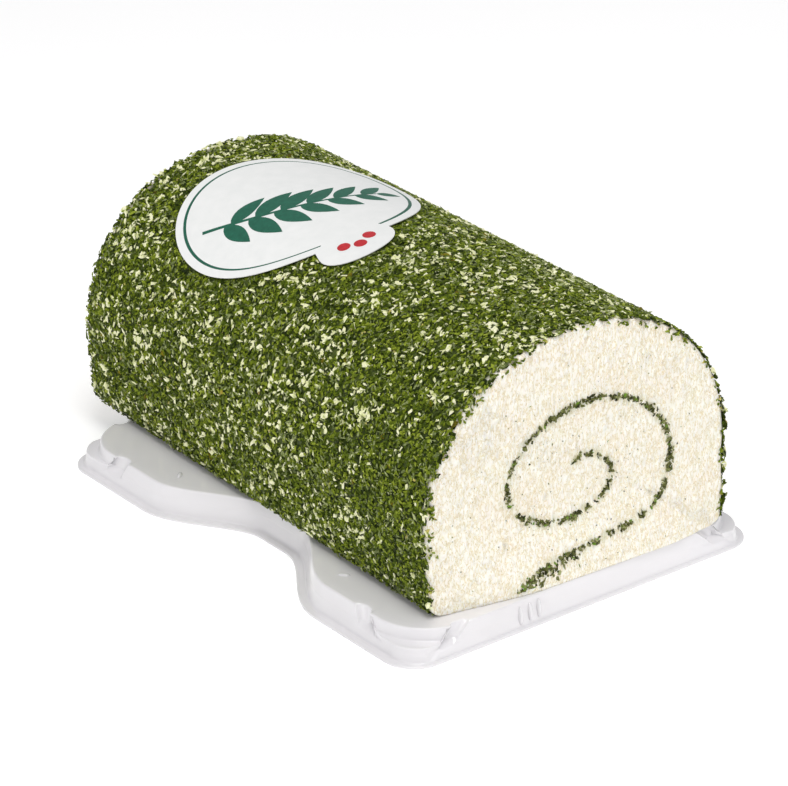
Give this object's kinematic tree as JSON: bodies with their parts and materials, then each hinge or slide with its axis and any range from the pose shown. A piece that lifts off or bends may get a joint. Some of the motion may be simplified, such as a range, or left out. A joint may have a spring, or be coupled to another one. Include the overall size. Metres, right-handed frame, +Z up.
{
  "type": "cream cheese log",
  "caption": "Rolled log of fresh cream cheese with a herb swirl at its cut ends, a coat of chopped herbs and a paper label, resting on its own waisted moulded tray.",
  "frame": {"origin": "middle of the whole object's box at the level of the floor that the tray's rim stands on", "axes": "+Z up, +Y along the log from the shown cut end to the rear cut end, +X to the right of the shown cut end"},
  "size_m": [0.1292, 0.1738, 0.0808],
  "materials": {
    "tray_plastic": "glossy, faintly milky thin moulded plastic",
    "cream_cheese": "moist, fine torn curd, ivory",
    "herb_line": "dark olive chopped leaf, moist",
    "chopped_herbs": "chopped green leaf with cream showing between",
    "label_paper": "smooth coated white paper"
  },
  "bodies": {
    "root": {"tray": "tray_plastic", "cheese": "cream_cheese", "herb_swirl": "herb_line", "herb_coat": "chopped_herbs", "label": "label_paper"}
  },
  "joints": []
}
